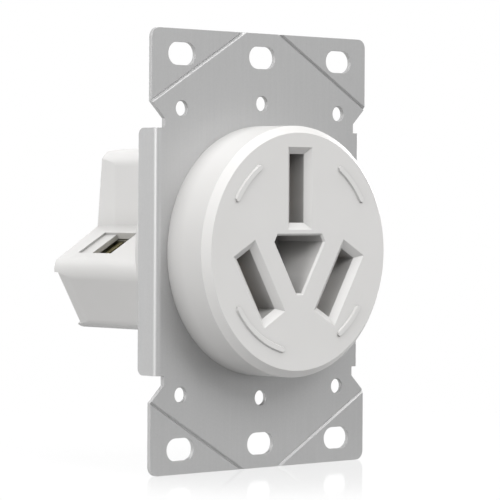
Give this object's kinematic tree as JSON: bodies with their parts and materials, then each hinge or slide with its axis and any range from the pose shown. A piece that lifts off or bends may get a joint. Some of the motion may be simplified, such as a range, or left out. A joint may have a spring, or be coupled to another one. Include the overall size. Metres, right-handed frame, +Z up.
{
  "type": "straight blade receptacle",
  "caption": "Flush straight blade receptacle: a round white face on a flat steel mounting strap, with a lobed terminal housing behind it.",
  "frame": {"origin": "centre of the strap's back face, which seats on the wall box", "axes": "+X to the right and +Z up as seen from the front, +Y to the back, into the wall"},
  "size_m": [0.0626, 0.0572, 0.0938],
  "materials": {
    "white_thermoplastic": "satin moulded",
    "galvanised_steel": "matt zinc coating",
    "brass": "rolled strip",
    "spring_steel": "blued strip",
    "tin_plated_aluminium": "dull tin plating",
    "zinc_plated_steel": "bright zinc plating"
  },
  "bodies": {
    "root": {"mounting_strap": "galvanised_steel", "front_cover": "white_thermoplastic", "rear_housing": "white_thermoplastic", "neutral_contact": "brass", "neutral_contact_spring": "spring_steel", "neutral_lug": "tin_plated_aluminium", "neutral_pressure_plate": "zinc_plated_steel", "neutral_terminal_screw": "zinc_plated_steel", "right_line_contact": "brass", "right_line_contact_spring": "spring_steel", "right_line_lug": "tin_plated_aluminium", "right_line_pressure_plate": "zinc_plated_steel", "right_line_terminal_screw": "zinc_plated_steel", "left_line_contact": "brass", "left_line_contact_spring": "spring_steel", "left_line_lug": "tin_plated_aluminium", "left_line_pressure_plate": "zinc_plated_steel", "left_line_terminal_screw": "zinc_plated_steel", "upper_right_assembly_screw": "zinc_plated_steel", "lower_assembly_screw": "zinc_plated_steel", "upper_left_assembly_screw": "zinc_plated_steel"}
  },
  "joints": []
}
